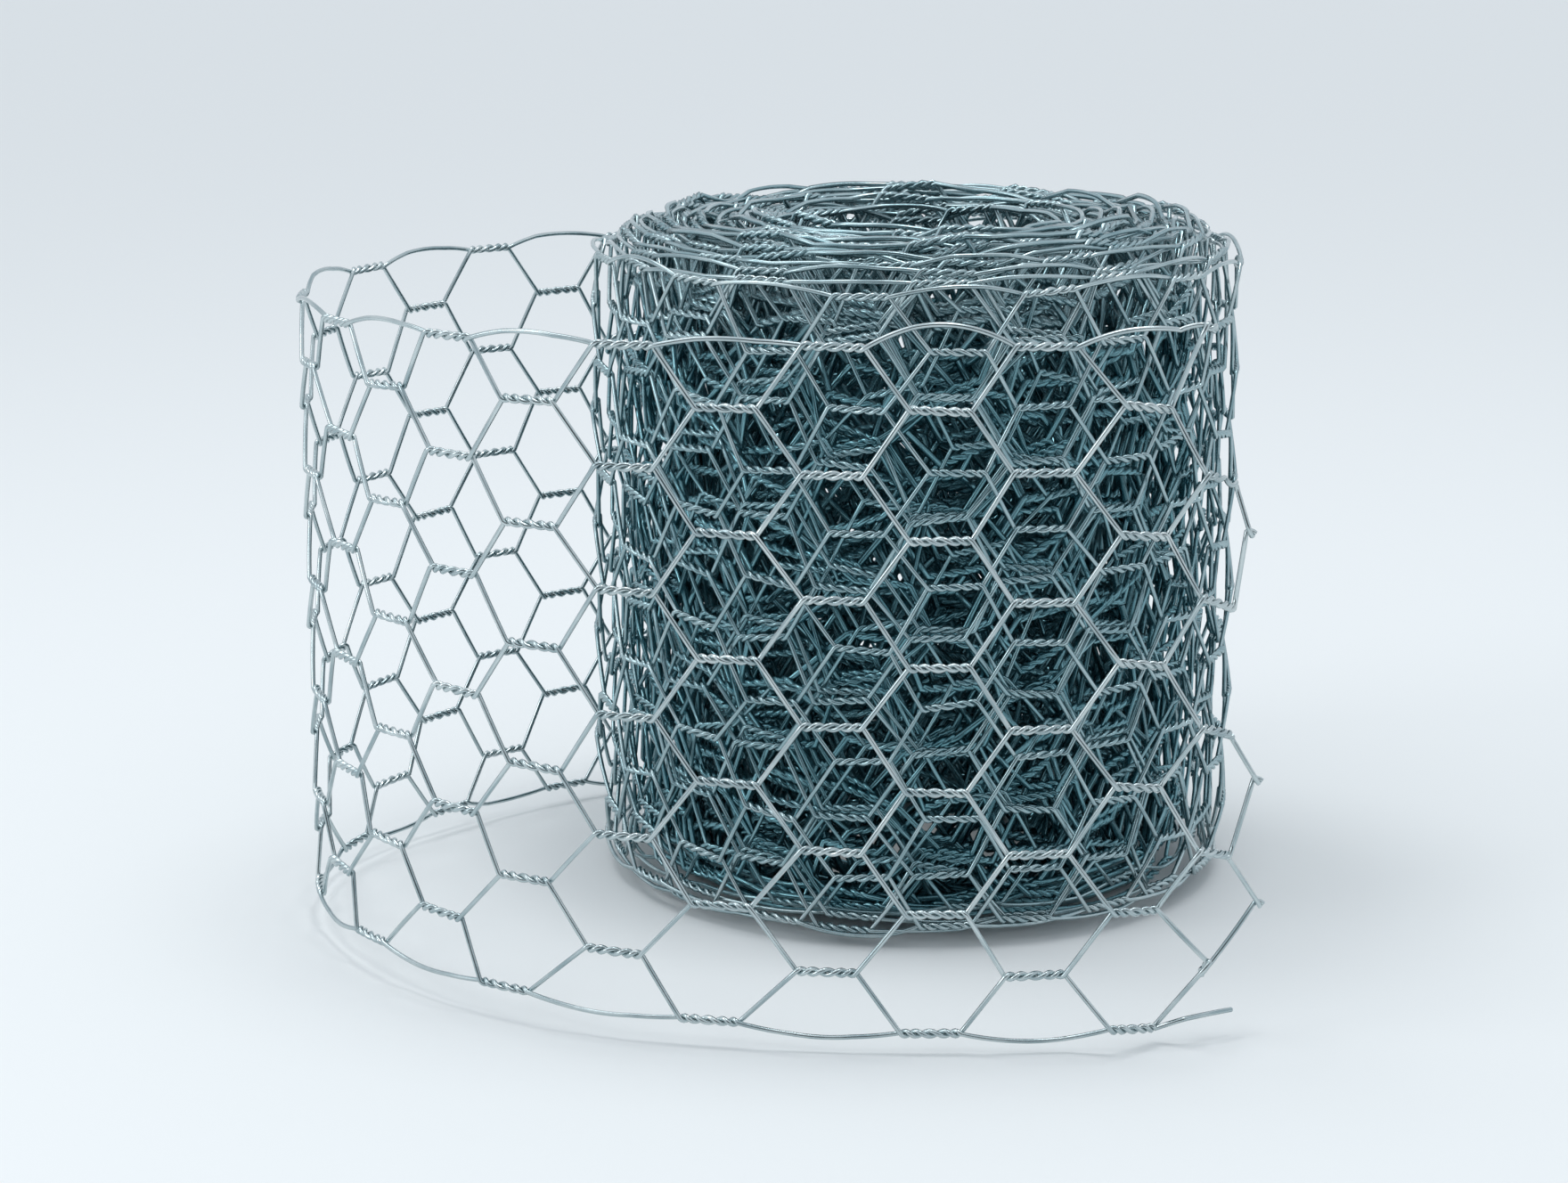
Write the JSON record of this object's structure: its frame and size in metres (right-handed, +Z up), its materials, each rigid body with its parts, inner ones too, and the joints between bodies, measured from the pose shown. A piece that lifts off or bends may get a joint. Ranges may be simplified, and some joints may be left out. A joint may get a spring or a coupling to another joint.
{
  "type": "roll of chicken wire",
  "caption": "Roll of hexagonal galvanised wire netting standing on its end, with its last length unwound round one side and a cut edge.",
  "frame": {"origin": "on the roll's axis, where it meets the floor that the roll stands on", "axes": "+Z up the bore; the cut end of the netting lies in front, on the -Y side, and runs towards +X"},
  "size_m": [0.2076, 0.2085, 0.1501],
  "materials": {
    "galvanised_wire": "drawn steel wire, hot-dip galvanised, dulled to a bluish grey"
  },
  "bodies": {
    "root": {"wound_roll": "galvanised_wire", "loose_end_01": "galvanised_wire", "loose_end_02": "galvanised_wire", "loose_end_03": "galvanised_wire", "loose_end_04": "galvanised_wire", "loose_end_05": "galvanised_wire", "loose_end_06": "galvanised_wire", "loose_end_07": "galvanised_wire", "loose_end_08": "galvanised_wire", "loose_end_09": "galvanised_wire", "loose_end_10": "galvanised_wire", "loose_end_11": "galvanised_wire"}
  },
  "joints": []
}
